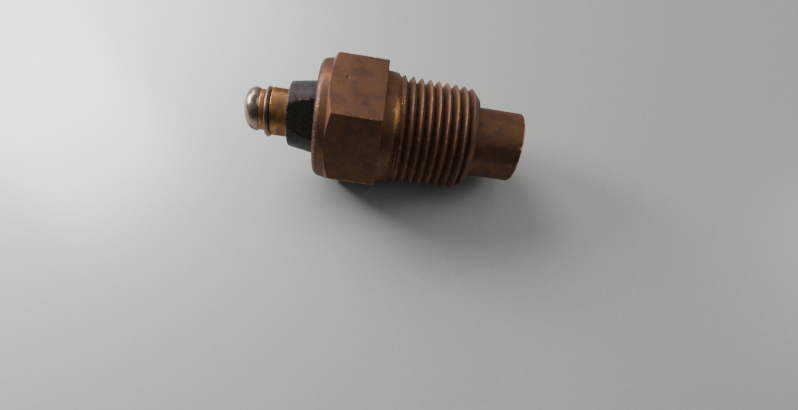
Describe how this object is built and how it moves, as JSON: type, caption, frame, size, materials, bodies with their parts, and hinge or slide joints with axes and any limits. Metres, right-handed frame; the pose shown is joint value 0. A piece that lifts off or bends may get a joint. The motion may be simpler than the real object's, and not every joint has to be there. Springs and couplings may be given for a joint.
{
  "type": "screw-in temperature switch",
  "caption": "Brass screw-in temperature switch: hexagon, tapered pipe thread, plain sensing nose, black moulded insulator and push-on round terminal with a wire ring.",
  "frame": {"origin": "on the axis, at the hexagon's shoulder where the threaded shank begins", "axes": "+X along the axis towards the sensing nose, +Z the normal of the hexagon's top flat, +Y = +Z x +X; the terminal is at the -X end"},
  "size_m": [0.0587, 0.0278, 0.024],
  "materials": {
    "body_brass": "aged, brown, satin",
    "plated_steel": "plain plated",
    "rubber": "matte",
    "phenolic": "satin moulded black",
    "terminal_brass": "satin, lightly aged",
    "nickel": "warm polished nickel",
    "dark_spring_steel": "dark bronze-brown, satin",
    "silver": "satin silver",
    "spring_bronze": "bright phosphor bronze",
    "liner_paper": "varnished insulating paper",
    "ceramic": "unglazed off-white"
  },
  "bodies": {
    "housing": {"body": "body_brass", "support_washer": "plated_steel", "flange_o_ring": "rubber", "insulator": "phenolic", "terminal_sleeve": "terminal_brass", "terminal_stud": "terminal_brass", "terminal_cap": "nickel", "inner_terminal_washer": "terminal_brass", "fixed_contact": "silver", "return_spring": "spring_bronze", "earth_washer": "terminal_brass", "spacer_tube": "terminal_brass", "liner_tube": "liner_paper", "pin_guide": "ceramic", "disc_retainer": "plated_steel", "bimetal_disc": "plated_steel", "disc_seat": "plated_steel"},
    "plunger": {"push_pin": "ceramic", "contact_plate": "spring_bronze", "moving_contact": "silver"},
    "ring": {"snap_ring": "dark_spring_steel"}
  },
  "joints": [
    {"name": "contact_travel", "type": "slide", "parent": "housing", "child": "plunger", "axis": [-1, 0, 0], "range_m": [0, 0.00049], "stiffness_N_per_m": 1200, "springref_m": -0.001, "deforming": ["return_spring", "bimetal_disc"]},
    {"name": "ring_turn", "type": "hinge", "parent": "housing", "child": "ring", "pos_m": [-0.02375, -0.00016, -0.00011], "axis": [1, 0, 0], "continuous": true}
  ]
}
